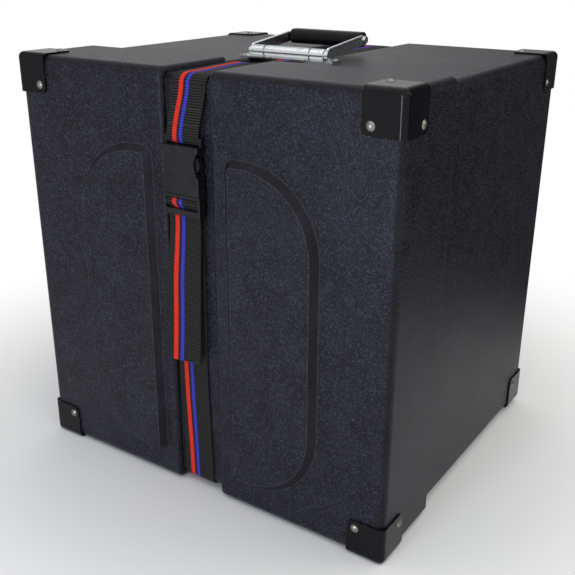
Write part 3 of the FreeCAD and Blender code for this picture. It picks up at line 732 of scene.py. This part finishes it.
@dataclass
class Webbing:
    """A run of ribbed webbing along a route."""

    name: str
    node: str
    body: str
    route: tuple[Bend, ...]
    middle_x: float = -4.0 * MM
    width: float = 38.0 * MM
    thickness: float = 1.6 * MM
    rib_pitch: float = 2.4 * MM
    rib_height: float = 0.16 * MM
    step: float = 0.5 * MM
    bend_step: float = 0.12
    flat_steps: int = 12
    edge_steps: int = 5
    edge_ribbing: float = 0.45
    drift: float = 0.35 * MM
    sway_pace: float = 23.0
    slow_pace: float = 7.3
    sideways: Course = Course()
    twist: Course = Course()

    def stations(self) -> list[Station]:
        """Sample the route's straight runs and bends.

        Returns:
            Stations in order from the route's start.
        """
        path: list[tuple[Vector, Vector]] = []
        spots = [Vector((bend.y, bend.z)) for bend in self.route]
        runs = [(b - a).normalized() for a, b in zip(spots, spots[1:])]
        pen = spots[0]
        for index in range(1, len(spots)):
            heading = runs[index - 1]
            last = index == len(spots) - 1
            turn = 0.0 if last else heading.angle_signed(runs[index]) * -1
            cut_back = 0.0 if last else self.route[index].radius * math.tan(abs(turn) / 2)
            end = spots[index] - heading * cut_back
            length = (end - pen).length
            count = max(1, round(length / self.step))
            for k in range(count):
                path.append((pen.lerp(end, k / count), heading))
            if last:
                path.append((end, heading))
                break
            side = math.copysign(1.0, turn)
            inward = Vector((-heading.y, heading.x)) * side
            centre = end + inward * self.route[index].radius
            arc = abs(turn) * self.route[index].radius
            count = max(2, round(arc / self.step), round(abs(turn) / self.bend_step))
            for k in range(count):
                spin = Matrix.Rotation(turn * k / count, 2)
                path.append((centre + spin @ (end - centre), spin @ heading))
            pen = centre + Matrix.Rotation(turn, 2) @ (end - centre)
        along = 0.0
        made: list[Station] = []
        for point, heading in path:
            if made:
                along += (point - made[-1].place).length
            made.append(Station(point, Vector((-heading.y, heading.x)), along))
        return made

    def section(self) -> list[Point]:
        """The webbing's cross-section, with rounded woven edges.

        Returns:
            For each point, its place across, its offset in half thicknesses, and how much it is ribbed.
        """
        half = self.thickness / 2
        inner = self.width / 2 - half
        ring: list[Point] = []
        for side in (1.0, -1.0):
            for k in range(self.flat_steps + 1):
                ring.append((side * inner * (2 * k / self.flat_steps - 1), side, 1.0))
            for k in range(1, self.edge_steps):
                angle = math.pi * k / self.edge_steps
                reach = inner + half * math.sin(angle)
                ring.append((side * reach, side * math.cos(angle), self.edge_ribbing))
        return ring

    def build(self, finish: Material) -> bpy.types.Object:
        """Build the run's mesh and dress it.

        Args:
            finish: The webbing's material.

        Returns:
            The new object.
        """
        section = self.section()
        rings: list[list[Vector]] = []
        weave: list[float] = []
        half = self.thickness / 2
        for station in self.stations():
            along = station.along
            wave = math.cos(math.tau * along / self.rib_pitch)
            sway = self.drift * math.sin(along * self.sway_pace) * math.sin(along * self.slow_pace + 1.0)
            middle = self.middle_x + sway + self.sideways.at(along)
            twist = self.twist.at(along)
            ring = []
            for x, lift, ribbed in section:
                offset = half * lift * (1 - self.rib_height / half * ribbed)
                offset += self.rib_height * ribbed * wave * math.copysign(1.0, lift)
                spot = station.place + station.normal * offset
                ring.append(Vector((middle + x * math.cos(twist), spot.x + x * math.sin(twist), spot.y)))
                weave.extend(((x + self.width / 2) / self.width, along, 0.0))
            rings.append(ring)
        skin = Skin()
        skin.cover(rings)
        mesh = skin.mesh(self.name)
        attribute = mesh.attributes.new("weave", "FLOAT_VECTOR", "POINT")
        attribute.data.foreach_set("vector", weave)
        return finished(mesh, self.name, finish, self.body, (self.node,))


@dataclass
class StitchRow:
    """A straight row of thread stitches across a strap."""

    middle: Vector
    normal: Vector
    heading: Vector
    length: float = 33.0 * MM
    pitch: float = 3.0 * MM
    stitch: float = 2.2 * MM
    radius: float = 0.32 * MM
    sunk: float = 0.55
    rings: int = 7
    points: int = 8

    def add_to(self, skin: Skin) -> None:
        """Add the row's stitches to a skin.

        Args:
            skin: The skin to add to.
        """
        count = int(self.length / self.pitch)
        for k in range(count):
            centre = self.middle + self.heading * ((k + 0.5) * self.pitch - count * self.pitch / 2)
            self.add_stitch(skin, centre)

    def add_stitch(self, skin: Skin, centre: Vector) -> None:
        """Add one arched stitch.

        Args:
            skin: The skin to add to.
            centre: The stitch's middle on the surface.
        """
        side = self.normal.cross(self.heading)
        rings = []
        for s in range(self.rings):
            share = 2 * s / (self.rings - 1) - 1
            bow = math.cos(share * math.pi / 2)
            spot = centre + self.heading * (share * self.stitch / 2)
            spot += self.normal * (bow - self.sunk) * self.radius
            size = self.radius * (self.sunk + (1 - self.sunk) * bow)
            ring = []
            for p in range(self.points):
                angle = math.tau * p / self.points
                out = side * math.cos(angle) + self.normal * math.sin(angle)
                ring.append(spot + out * size)
            rings.append(ring)
        skin.cover(rings)


def linked(name: str, data: bpy.types.ID) -> bpy.types.Object:
    """Make an object of its data and link it to the scene."""
    made = bpy.data.objects.new(name, data)
    bpy.context.scene.collection.objects.link(made)
    return made


def finished(mesh: bpy.types.Mesh, name: str, finish: Material, body: str,
             nodes: tuple[str, ...] = ()) -> bpy.types.Object:
    """Turn a mesh into a dressed piece that rides on a body.

    Args:
        mesh: The piece's mesh.
        name: The piece's name.
        finish: Its material.
        body: The body it rides on.
        nodes: The solids it stands for.

    Returns:
        The new object.
    """
    work = bmesh.new()
    work.from_mesh(mesh)
    bmesh.ops.recalc_face_normals(work, faces=work.faces)
    work.to_mesh(mesh)
    work.free()
    mesh.materials.append(finish)
    mesh.shade_smooth()
    piece = linked(name, mesh)
    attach(piece, body)
    if nodes:
        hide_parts(*nodes)
    LOG.info("piece %s on %s, %d faces", name, body, len(mesh.polygons))
    return piece


@dataclass
class Strap:
    """The all-round strap: two runs on the lid and one on the base, with its stitching."""

    planes: CasePlanes
    corner: float = 9.1 * MM
    ease: float = 24.0 * MM
    fold_length: float = 34.5 * MM
    fold_ease: float = 14.0 * MM
    layer_step: float = 2.1 * MM
    wrap: float = 2.8 * MM
    bar_radius: float = 1.7 * MM
    buckle_drop: float = 134.5 * MM
    frame_height: float = 20.5 * MM
    body_height: float = 46.0 * MM
    low_bar_height: float = 5.5 * MM
    bar_slot: float = 2.5 * MM
    cross_height: float = 3.4 * MM
    joint_gap: float = 0.4 * MM
    bar_forward: float = 4.0 * MM
    lead_start: float = 13.0 * MM
    lead_end: float = 3.0 * MM
    lead_radius: float = 5.0 * MM
    tuck_ease: float = 0.6 * MM
    tuck_radius: float = 2.8 * MM
    tail_length: float = 165.0 * MM
    tail_curl: float = 36.0 * MM
    tail_lean: float = 2.5 * MM
    tail_bow_radius: float = 90.0 * MM
    tail_reach: float = 8.5 * MM
    hem_length: float = 31.0 * MM
    hem_step: float = 1.75 * MM
    step_ease: float = 4.0 * MM
    step_run: float = 24.0 * MM
    step_radius: float = 14.0 * MM
    end_gap: float = 0.15 * MM
    half_thickness: float = 0.8 * MM
    turn_share: float = 0.499
    fold_rows: Band = (6.0 * MM, 20.0 * MM)
    hem_row_inset: float = 3.0 * MM
    upper_stray: tuple[Band, ...] = (
        (0.0, 0.0), (80 * MM, 6.3 * MM), (98 * MM, 6.0 * MM), (142 * MM, 0.4 * MM), (150 * MM, 0.4 * MM),
        (190 * MM, 3.6 * MM))
    lower_stray: tuple[Band, ...] = (
        (0.0, 0.0), (100 * MM, 0.0), (230 * MM, -2.6 * MM), (340 * MM, -1.6 * MM), (395 * MM, 0.0),
        (425 * MM, -0.4 * MM), (500 * MM, -3.4 * MM), (600 * MM, -3.8 * MM))
    tail_twist: tuple[Band, ...] = (
        (0.0, 0.0), (425 * MM, 0.0), (500 * MM, math.radians(8.0)), (600 * MM, math.radians(10.0)))

    @property
    def front(self) -> float:
        """The middle of the webbing that lies on the front groove's floor."""
        return self.planes.front + self.planes.inset

    @property
    def lid_top(self) -> float:
        """The middle of the webbing on the lid's top."""
        return self.planes.lid_high - self.planes.inset

    @property
    def lid_low(self) -> float:
        """The middle of the webbing under the lid."""
        return self.planes.lid_low + self.planes.inset

    @property
    def foot(self) -> float:
        """The buckle's lower end."""
        return self.planes.lid_high - self.buckle_drop

    @property
    def top_bar(self) -> float:
        """The height of the bar that the upper run folds round."""
        return self.foot + self.frame_height + self.body_height + self.bar_slot + self.bar_radius

    @property
    def middle_bar(self) -> float:
        """The height of the bar that the lower run loops over."""
        cross_low = self.foot + self.frame_height - self.joint_gap - self.cross_height
        return cross_low - self.wrap - self.planes.lay_off

    def upper_route(self) -> tuple[Bend, ...]:
        """From the lid's rim to the buckle's top bar, and folded back behind."""
        fold_high = self.top_bar + self.fold_length
        loop = self.front - 2 * self.wrap
        return (
            Bend(self.planes.lid_rim - self.end_gap, self.lid_top),
            Bend(self.front, self.lid_top, self.corner),
            Bend(self.front, fold_high + self.fold_ease, self.ease),
            Bend(self.front - self.layer_step, fold_high, self.ease),
            Bend(loop, self.top_bar + 2 * self.wrap, self.ease),
            Bend(loop, self.top_bar - self.wrap, self.wrap),
            Bend(self.front, self.top_bar - self.wrap, self.wrap),
            Bend(self.front, fold_high),
        )

    def lower_route(self) -> tuple[Bend, ...]:
        """From the lid's rim under the lid, up to the buckle, down as the tail, and its hem behind."""
        bar = self.front - self.wrap - self.bar_forward
        loop = self.front - 2 * self.wrap
        end = Vector((self.planes.front - self.tail_reach + self.half_thickness,
                      self.middle_bar - self.tail_length))
        knee = Vector((end.x + self.tail_lean, end.y + self.tail_curl))
        down = (end - knee).normalized()
        inward = Vector((-down.y, down.x))
        turned = end + inward * self.hem_step
        hem = turned - down * self.hem_length
        return (
            Bend(self.planes.lid_rim - self.end_gap, self.lid_low),
            Bend(self.front, self.lid_low, self.corner),
            Bend(self.front, self.middle_bar - self.lead_start, self.lead_radius),
            Bend(bar + self.wrap, self.middle_bar - self.lead_end, self.lead_radius),
            Bend(bar + self.wrap, self.middle_bar + self.wrap, self.wrap),
            Bend(bar - self.wrap, self.middle_bar + self.wrap, self.wrap),
            Bend(bar - self.wrap, self.middle_bar - self.bar_radius, self.tuck_radius),
            Bend(loop, self.foot + self.low_bar_height + self.tuck_ease, self.tuck_radius),
            Bend(loop, self.foot - self.fold_ease, self.tail_bow_radius),
            Bend(knee.x, knee.y, self.tail_bow_radius),
            Bend(end.x, end.y, self.hem_step * self.turn_share),
            Bend(turned.x, turned.y, self.hem_step * self.turn_share),
            Bend(hem.x, hem.y),
        )

    def rear_route(self) -> tuple[Bend, ...]:
        """From the lid's rim over the base's top, down its back and forward under it."""
        planes = self.planes
        start = planes.lid_rim + self.end_gap
        ease = planes.lid_rim + self.step_ease
        settled = planes.lid_rim + self.step_run
        top = planes.base_high - planes.inset
        low = planes.base_low + planes.inset
        back = planes.rear - planes.inset
        return (
            Bend(start, self.lid_top),
            Bend(ease, self.lid_top, self.step_radius),
            Bend(settled, top, self.step_radius),
            Bend(back, top, self.corner),
            Bend(back, low, self.corner),
            Bend(settled, low, self.step_radius),
            Bend(ease, self.lid_low, self.step_radius),
            Bend(start, self.lid_low),
        )

    def stitching(self, upper: Webbing, lower: Webbing, thread: Material) -> None:
        """Sew the fold at the top and the tail's hem.

        Args:
            upper: The run with the fold.
            lower: The run with the tail.
            thread: The thread's material.
        """
        skin = Skin()
        outer = [s for s in upper.stations() if s.place.x < self.front - self.half_thickness]
        for drop in self.fold_rows:
            height = self.top_bar + self.fold_length - drop
            self.row(skin, upper, min(outer, key=lambda s: abs(s.place.y - height)))
        tail = lower.stations()
        end = min(range(len(tail)), key=lambda k: tail[k].place.y)
        for up in (self.hem_row_inset, self.hem_length - self.hem_row_inset):
            self.row(skin, lower, tail[end - round(up / lower.step)])
        finished(skin.mesh("strap_stitches"), "strap_stitches", thread, "lid")

    def row(self, skin: Skin, run: Webbing, station: Station) -> None:
        """Add one row of stitches on the outer face of a run at a station.

        Args:
            skin: The skin to add to.
            run: The run that is sewn.
            station: Where the row lies.
        """
        outward = station.normal if station.normal.x < 0 else -station.normal
        turn = Matrix.Rotation(run.twist.at(station.along), 3, "Z")
        normal = turn @ Vector((0.0, outward.x, outward.y))
        middle = run.middle_x + run.sideways.at(station.along)
        spot = Vector((middle, station.place.x, station.place.y)) + normal * self.half_thickness
        StitchRow(spot, normal, turn @ Vector((1.0, 0.0, 0.0))).add_to(skin)

    def build(self) -> None:
        """Build the three runs and their stitches."""
        finish = WovenStripes().build()
        upper = Webbing("strap_upper", "strap_upper_run", "lid", self.upper_route(),
                        sideways=Course(self.upper_stray))
        lower = Webbing("strap_lower", "strap_lower_run", "lid", self.lower_route(),
                        sideways=Course(self.lower_stray), twist=Course(self.tail_twist))
        rear = Webbing("strap_rear", "strap_rear_run", "base", self.rear_route())
        for run in (upper, lower, rear):
            run.build(finish)
        self.stitching(upper, lower, Thread().build())


# Foam


@dataclass
class FoamPad:
    """A cut foam sheet with its solid's outline and softened, slightly uneven faces."""

    node: str
    body: str
    voxel: float = 3.0 * MM
    smoothing: float = 0.5
    smoothing_rounds: int = 3
    unevenness: float = 0.5 * MM
    upright_share: float = 0.6
    fill: float = 0.9

    def build(self, finish: Material) -> bpy.types.Object:
        """Copy the solid's form, remesh it, soften it and dress it.

        Args:
            finish: The foam's material.

        Returns:
            The new object.
        """
        source = frame["nodes"][self.node]
        name = self.node.replace("base_", "").replace("lid_", "lid_pad_") + "_lining"
        mesh = source.data.copy()
        piece = linked(name, mesh)
        remesh = piece.modifiers.new("even", "REMESH")
        remesh.mode = "VOXEL"
        remesh.voxel_size = self.voxel
        smooth = piece.modifiers.new("soften", "SMOOTH")
        smooth.factor = self.smoothing
        smooth.iterations = self.smoothing_rounds
        graph = bpy.context.evaluated_depsgraph_get()
        made = bpy.data.meshes.new_from_object(piece.evaluated_get(graph))
        bpy.data.objects.remove(piece)
        bpy.data.meshes.remove(mesh)
        made.materials.clear()
        self.roughen(made)
        pad = finished(made, name, finish, self.body, (self.node,))
        return pad

    def roughen(self, mesh: bpy.types.Mesh) -> None:
        """Push the surface in by small uneven amounts, as a foam cutter leaves it.

        Args:
            mesh: The pad's mesh.
        """
        normals = [vertex.normal.copy() for vertex in mesh.vertices]
        for vertex, normal in zip(mesh.vertices, normals):
            x, y, z = vertex.co
            ripple = math.sin(x * 260 + 3 * math.sin(z * 90)) * math.sin(y * 240 + 2 * math.sin(x * 70))
            ripple += self.upright_share * math.sin(z * 310 + 4 * math.sin(y * 60))
            vertex.co -= normal * self.unevenness * 0.5 * (1 + ripple / (1 + self.upright_share))


@dataclass
class Lining:
    """All the foam inside the case."""

    nodes: tuple[str, ...] = ("base_back_foam", "base_left_foam", "base_right_foam",
                              "base_top_foam", "base_floor_foam", "lid_foam")

    def build(self) -> None:
        """Build every pad."""
        finish = OpenCellFoam().build()
        for node in self.nodes:
            FoamPad(node, node.split("_")[0]).build(finish)


# Rigid pieces


@dataclass
class RigidPieces:
    """The finish of every rigid solid."""

    def finishes(self) -> dict[Slot, Material]:
        """Build each rigid finish once."""
        return {
            Slot.SHELL: PebblePlastic().build(),
            Slot.PROTECTOR: BlackEnamel().build(),
            Slot.RIVET: PlatedSteel("nickel_rivet", (0.26, 0.25, 0.23), (0.10, 0.095, 0.085),
                                    (0.20, 0.38), (1.0, 1.0, 1.0)).build(),
            Slot.WASHER: PlatedSteel("washer_steel", (0.55, 0.55, 0.56), (0.30, 0.30, 0.31),
                                     (0.28, 0.48)).build(),
            Slot.BUCKLE: SmoothPlastic("buckle_acetal", (0.006, 0.006, 0.0075), (0.012, 0.012, 0.015),
                                       (0.22, 0.34), gloss=0.28).build(),
            Slot.HANDLE: PlatedSteel("plated_handle_steel").build(),
            Slot.GRIP: SmoothPlastic("grip_plastic", (0.004, 0.004, 0.005), (0.009, 0.009, 0.011),
                                     (0.30, 0.42), gloss=0.20).build(),
        }

    def dress(self) -> None:
        """Put the right finish on every solid that shows as it is."""
        finishes = self.finishes()
        slots = {entry["node"]: entry["material_slot"] for entry in frame["record"]["subparts"]}
        for name, node in frame["nodes"].items():
            finish = finishes.get(Slot(slots[name]))
            if finish is None:
                continue
            node.data.materials.clear()
            node.data.materials.append(finish)
            LOG.info("solid %s has %s", name, finish.name)


# Floor, light and camera


@dataclass(frozen=True)
class Softbox:
    """One soft rectangular lamp."""

    name: str
    place: Point
    aim: Point
    width: float
    height: float
    power: float
    colour: Colour = (1.0, 1.0, 1.0)

    def hang(self) -> None:
        """Hang the lamp in the scene, out of the camera's sight."""
        data = bpy.data.lights.new(self.name, "AREA")
        data.shape = "RECTANGLE"
        data.size = self.width
        data.size_y = self.height
        data.energy = self.power
        data.color = self.colour
        lamp = linked(self.name, data)
        lamp.location = self.place
        lamp.visible_camera = False
        lamp.rotation_mode = "QUATERNION"
        lamp.rotation_quaternion = (Vector(self.aim) - Vector(self.place)).to_track_quat("-Z", "Y")


@dataclass
class Studio:
    """The pale floor, the soft lamps and the white surroundings.

    The surroundings are white to the camera. Reflections see them white too, but darker overhead, at
    the back right and on the left, as the photographed faces do.
    """

    floor_size: float = 30.0
    floor_colour: Colour = (0.90, 0.90, 0.89)
    floor_roughness: float = 0.85
    floor_gloss: float = 0.2
    fade_range: Band = (0.28, 0.70)
    fill_light: float = 0.30
    dark_behind: float = 0.08
    dark_overhead: float = 0.22
    dark_left: float = 0.55
    dark_towards: Point = (0.45, 0.89, 0.0)
    behind_range: Band = (0.25, 0.92)
    overhead_range: Band = (0.42, 0.80)
    left_range: Band = (-0.35, -0.80)
    lamps: tuple[Softbox, ...] = (
        Softbox("overhead_softbox", (0.45, -0.10, 2.1), (0.1, 0.0, 0.2), 4.4, 4.4, 60.0),
        Softbox("front_softbox", (0.02, -1.45, 0.34), (0.10, -0.19, 0.22), 0.26, 0.55, 6.4,
                (0.68, 0.78, 1.0)),
        Softbox("right_bounce", (0.95, 0.35, 0.60), (0.32, 0.05, 0.0), 0.4, 0.4, 0.9, (1.0, 0.99, 0.84)),
    )

    def seen_white(self, g: Graph, towards: Socket) -> tuple[Socket, Socket]:
        """Which rays see the white surroundings, and how bright.

        Args:
            g: The graph to add to.
            towards: The direction from the case.

        Returns:
            A mask for camera, glossy and transmission rays, and the strength of the white.
        """
        path = g.node("LightPath")
        direct = g.maths("MAXIMUM", path.outputs["Is Camera Ray"], path.outputs["Is Transmission Ray"])
        mask = g.maths("MAXIMUM", direct, path.outputs["Is Glossy Ray"])
        unit = g.vector("NORMALIZE", towards).outputs["Vector"]
        facing = g.vector("DOT_PRODUCT", unit, self.dark_towards)
        x, _, z = g.parts(unit)
        behind = g.span(facing.outputs["Value"], *self.behind_range, 1.0, self.dark_behind)
        overhead = g.span(z, *self.overhead_range, 1.0, self.dark_overhead)
        left = g.span(x, *self.left_range, 1.0, self.dark_left)
        reflected = g.times(left, g.times(behind, overhead))
        return mask, g.maths("MAXIMUM", direct, reflected)

    def floor(self) -> None:
        """Lay the pale floor, which keeps the shadow near the case and turns white further out."""
        mesh = bpy.data.meshes.new("studio_floor")
        half = self.floor_size / 2
        corners = [(-half, -half, 0.0), (half, -half, 0.0), (half, half, 0.0), (-half, half, 0.0)]
        mesh.from_pydata(corners, [], [(0, 1, 2, 3)])
        g = Graph("pale_floor")
        g.surface(Base_Color=self.floor_colour, Roughness=self.floor_roughness,
                  Specular_IOR_Level=self.floor_gloss)
        far = g.span(g.vector("LENGTH", g.place()).outputs["Value"], *self.fade_range)
        mask, strength = self.seen_white(g, g.place())
        white = g.node("Emission", {"Strength": strength})
        g.show_mixed(g.times(far, mask), g.shader, white)
        mesh.materials.append(g.material)
        floor = linked("studio_floor", mesh)

    def world(self) -> None:
        """Surround the scene with white and a dim even fill light."""
        world = bpy.data.worlds.new("white_surround")
        bpy.context.scene.world = world
        world.use_nodes = True
        g = Graph.of_world(world)
        mask, strength = self.seen_white(g, g.node("TexCoord").outputs["Generated"])
        fill, white = (g.node("Background", {"Color": (1.0, 1.0, 1.0), "Strength": value})
                       for value in (self.fill_light, strength))
        g.show_mixed(mask, fill, white)

    def build(self) -> None:
        """Set up the whole studio."""
        self.floor()
        self.world()
        for lamp in self.lamps:
            lamp.hang()


@dataclass
class PhotoCamera:
    """A camera at the photograph's place, angle and field of view."""

    place: Point = (501.1 * MM, -764.2 * MM, 537.8 * MM)
    yaw: float = math.radians(33.95)
    pitch: float = math.radians(21.82)
    roll: float = math.radians(0.20)
    focal_pixels: float = 837.0
    picture_pixels: float = 575.0
    sensor: float = 36.0

    def build(self) -> None:
        """Place the camera and make it the scene's."""
        data = bpy.data.cameras.new("photo_camera")
        data.sensor_width = self.sensor
        data.lens = self.focal_pixels / self.picture_pixels * self.sensor
        camera = linked("photo_camera", data)
        level = math.cos(self.pitch)
        forward = Vector((-math.sin(self.yaw) * level, math.cos(self.yaw) * level, -math.sin(self.pitch)))
        right = Vector((math.cos(self.yaw), math.sin(self.yaw), 0.0))
        up = right.cross(forward)
        turn = Matrix((right, up, -forward)).transposed()
        camera.matrix_world = (Matrix.Translation(self.place) @ turn.to_4x4()
                               @ Matrix.Rotation(self.roll, 4, "Z"))
        bpy.context.scene.camera = camera


def main() -> None:
    """Dress the case and set the stage."""
    logging.basicConfig(level=logging.INFO)
    bpy.context.scene.view_settings.view_transform = "Standard"
    PhotoCamera().build()
    RigidPieces().dress()
    Strap(CasePlanes.read()).build()
    Lining().build()
    Studio().build()


if __name__ == "__main__":
    main()
